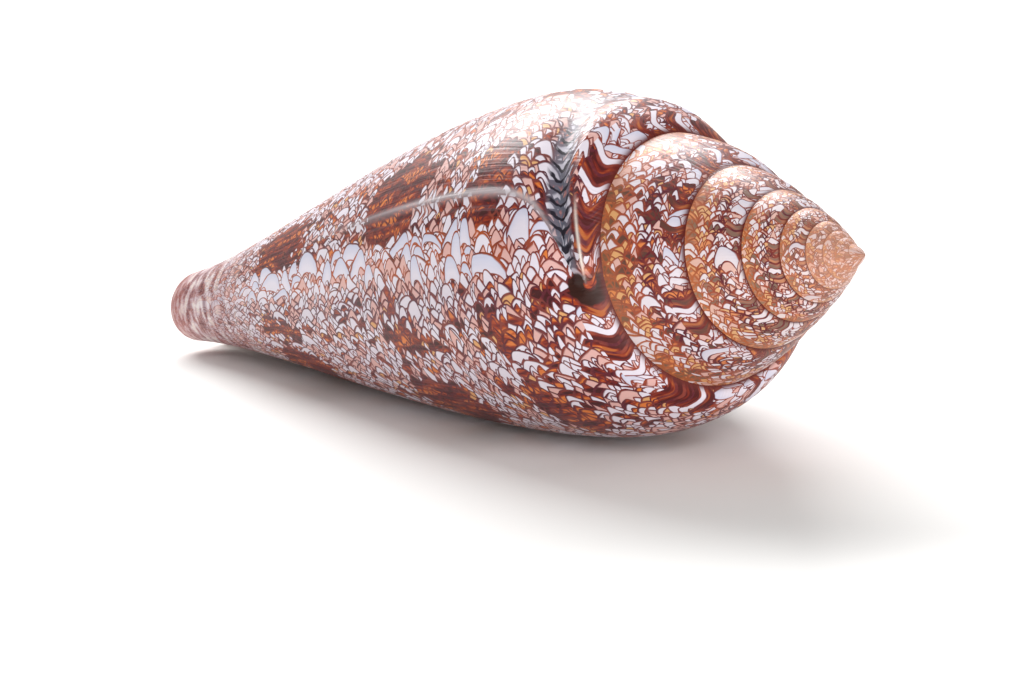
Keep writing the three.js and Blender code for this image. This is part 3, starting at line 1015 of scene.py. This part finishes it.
    # Growth lines under the glaze
    fine = streaks(surface, GROWTH_LINES)
    bump = put("Bump", named={"Strength": 1.0, "Distance": GROWTH_LINE_DEPTH, "Height": fine})
    look = {
        "Base Color": skin,
        "Roughness": put("MapRange", fine, 0.3, 0.7, *GLAZE_ROUGHNESS),
        "IOR": ARAGONITE_IOR,
        "Specular IOR Level": GLAZE_SPECULAR,
        "Normal": bump,
    }
    put("OutputMaterial", put("BsdfPrincipled", named=look))
    return material


def paper_floor(settings):
    """Matt white paper from a roll. It gives the eye a plain pale ground without gloss."""
    material = bpy.data.materials.new("matt white paper")
    material.use_nodes = True
    shader = material.node_tree.nodes["Principled BSDF"]
    shader.inputs["Base Color"].default_value = (*settings.floor_colour, 1)
    shader.inputs["Roughness"].default_value = PAPER_ROUGHNESS
    return material


# Settings


def size_setting(name, description, metres):
    """A size that the user can change."""
    return FloatProperty(name=name, description=description, default=metres, unit="LENGTH")


def colour_setting(name, description, hex_colour):
    """A colour that the user can change."""
    return FloatVectorProperty(
        name=name, description=description, default=linear(hex_colour), subtype="COLOR", min=0, max=1
    )


class ConeShellSizes(PropertyGroup):
    lip_edge: size_setting("Lip edge", "Radius of the turned edge of the lip", 0.0005)
    lip_wall: size_setting("Lip wall", "Thickness of the wall at the lip", 0.0015)
    keel_height: size_setting("Keel", "Height of the keel after the healed break", 0.0008)
    scar_height: size_setting("Scar", "Height of the healed break's seam", 0.0002)


class ConeShellColours(PropertyGroup):
    white: colour_setting("Tents", "White of the tents", "#E6DEE8")
    # Also laid over the channel as part of its painted shade
    blue: colour_setting("Tent points", "Blue grey in the points of the broad tents", "#C4C9E0")
    pink: colour_setting("Pink tents", "Pink cream of some tents", "#DFB0A8")
    orange: colour_setting("Orange tents", "Light orange of some tents", "#DDA468")
    line: colour_setting("Lines", "Dark brown of the net", "#5A160C")
    light_line: colour_setting("Light lines", "Light brown of the net", "#B8541F")
    # Also laid thinly over the whole channel as painted shade
    channel_line: colour_setting("Channel lines", "Purple grey lines along the channel", "#1F1A26")
    mauve: colour_setting("Mauve", "Mauve of some rows", "#5C2840")
    cream: colour_setting("Cream", "Cream of the older whorls", "#F0D4B4")
    salmon: colour_setting("Salmon", "Salmon of the first whorls", "#D59C80")
    seam: colour_setting("Seam", "Grey of the healed break", "#B4ABAE")
    # Colour of the painted highlight along the keel's crest
    crest: colour_setting("Keel crest", "Pale crest of the keel", "#E6DCD2")
    # Colour of the painted shade in the pit's hollow
    pit: colour_setting("Pit", "Dark brown of the crescent in the pit", "#32150D")
    tip: colour_setting("Front tip", "Pinkish red of the front tip", "#AE6156")
    inside: colour_setting("Inside", "Plain porcelain behind the lip", "#F1ECE6")


class ConeShellStage(PropertyGroup):
    floor_colour: colour_setting("Floor", "Colour of the floor", "#F4F3F1")
    floor_size: size_setting("Floor size", "Side of the floor", 6.0)
    key_power: FloatProperty(
        name="Key light", description="Power of the light over the shell", default=18.3, unit="POWER"
    )


# Operators


class CONE_SHELL_OT_grow(Operator):
    """Grow the shell, hollow it behind the lip and lay it down"""

    bl_idname = "cone_shell.grow"
    bl_label = "Grow the shell"

    def execute(self, context):
        sizes = context.scene.cone_shell_sizes
        mesh = cut_away(outside_mesh(sizes), hollow_mesh(sizes))
        mesh.name = "cone_shell"
        mesh.transform(Matrix.Scale(1 / MM_PER_M, 4))
        laid_down(mesh)
        mesh.shade_smooth()
        mesh.set_sharp_from_angle(angle=SHARP_ANGLE)
        mesh.materials.clear()
        mesh.materials.append(porcelain_shell(context.scene.cone_shell_colours))
        shell = linked(mesh)
        shell.name = "cone_shell"
        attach(shell, "root")
        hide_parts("shell")
        return {"FINISHED"}


class CONE_SHELL_OT_stage(Operator):
    """Set the floor, the lights and the camera"""

    bl_idname = "cone_shell.stage"
    bl_label = "Set the stage"

    def execute(self, context):
        settings = context.scene.cone_shell_stage
        floor = bmesh.new()
        bmesh.ops.create_grid(floor, x_segments=1, y_segments=1, size=settings.floor_size / 2)
        mesh = bpy.data.meshes.new("floor")
        floor.to_mesh(mesh)
        floor.free()
        mesh.materials.append(paper_floor(settings))
        linked(mesh)

        for name, at, (width, height), share in LIGHTS:
            lamp = bpy.data.lights.new(name, "AREA")
            lamp.shape = "RECTANGLE"
            lamp.size = width
            lamp.size_y = height
            lamp.energy = settings.key_power * share
            made = linked(lamp)
            made.location = at
            made.rotation_euler = (LIGHTS_AIM - Vector(at)).to_track_quat("-Z", "Y").to_euler()

        world = bpy.data.worlds.new("studio")
        world.use_nodes = True
        room = world.node_tree.nodes["Background"].inputs
        room["Color"].default_value = (1, 1, 1, 1)
        room["Strength"].default_value = ROOM_LIGHT
        context.scene.world = world
        context.scene.view_settings.view_transform = "Standard"

        lens = bpy.data.cameras.new("camera")
        lens.lens = LENS_MM
        lens.sensor_width = SENSOR_MM
        lens.clip_start = 0.01
        lens.clip_end = 50
        camera = linked(lens)
        turn = (CAMERA_AIM - CAMERA_AT).to_track_quat("-Z", "Y").to_matrix().to_4x4()
        camera.matrix_world = Matrix.Translation(CAMERA_AT) @ turn @ Matrix.Rotation(CAMERA_ROLL, 4, "Z")
        context.scene.camera = camera
        return {"FINISHED"}


class CONE_SHELL_PT_panel(Panel):
    bl_idname = "CONE_SHELL_PT_panel"
    bl_label = "Cone shell"
    bl_space_type = "VIEW_3D"
    bl_region_type = "UI"
    bl_category = "Cone shell"

    def draw(self, context):
        scene = context.scene
        for groups, operator in (
            ((scene.cone_shell_sizes, scene.cone_shell_colours), "cone_shell.grow"),
            ((scene.cone_shell_stage,), "cone_shell.stage"),
        ):
            box = self.layout.box()
            for group in groups:
                for name in type(group).__annotations__:
                    box.prop(group, name)
            box.operator(operator)


CLASSES = (
    ConeShellSizes,
    ConeShellColours,
    ConeShellStage,
    CONE_SHELL_OT_grow,
    CONE_SHELL_OT_stage,
    CONE_SHELL_PT_panel,
)


def register():
    for made in CLASSES:
        bpy.utils.register_class(made)
    bpy.types.Scene.cone_shell_sizes = PointerProperty(type=ConeShellSizes)
    bpy.types.Scene.cone_shell_colours = PointerProperty(type=ConeShellColours)
    bpy.types.Scene.cone_shell_stage = PointerProperty(type=ConeShellStage)


def unregister():
    del bpy.types.Scene.cone_shell_stage
    del bpy.types.Scene.cone_shell_colours
    del bpy.types.Scene.cone_shell_sizes
    for made in reversed(CLASSES):
        bpy.utils.unregister_class(made)


def main():
    register()
    bpy.ops.cone_shell.grow()
    bpy.ops.cone_shell.stage()


if __name__ == "__main__":
    main()
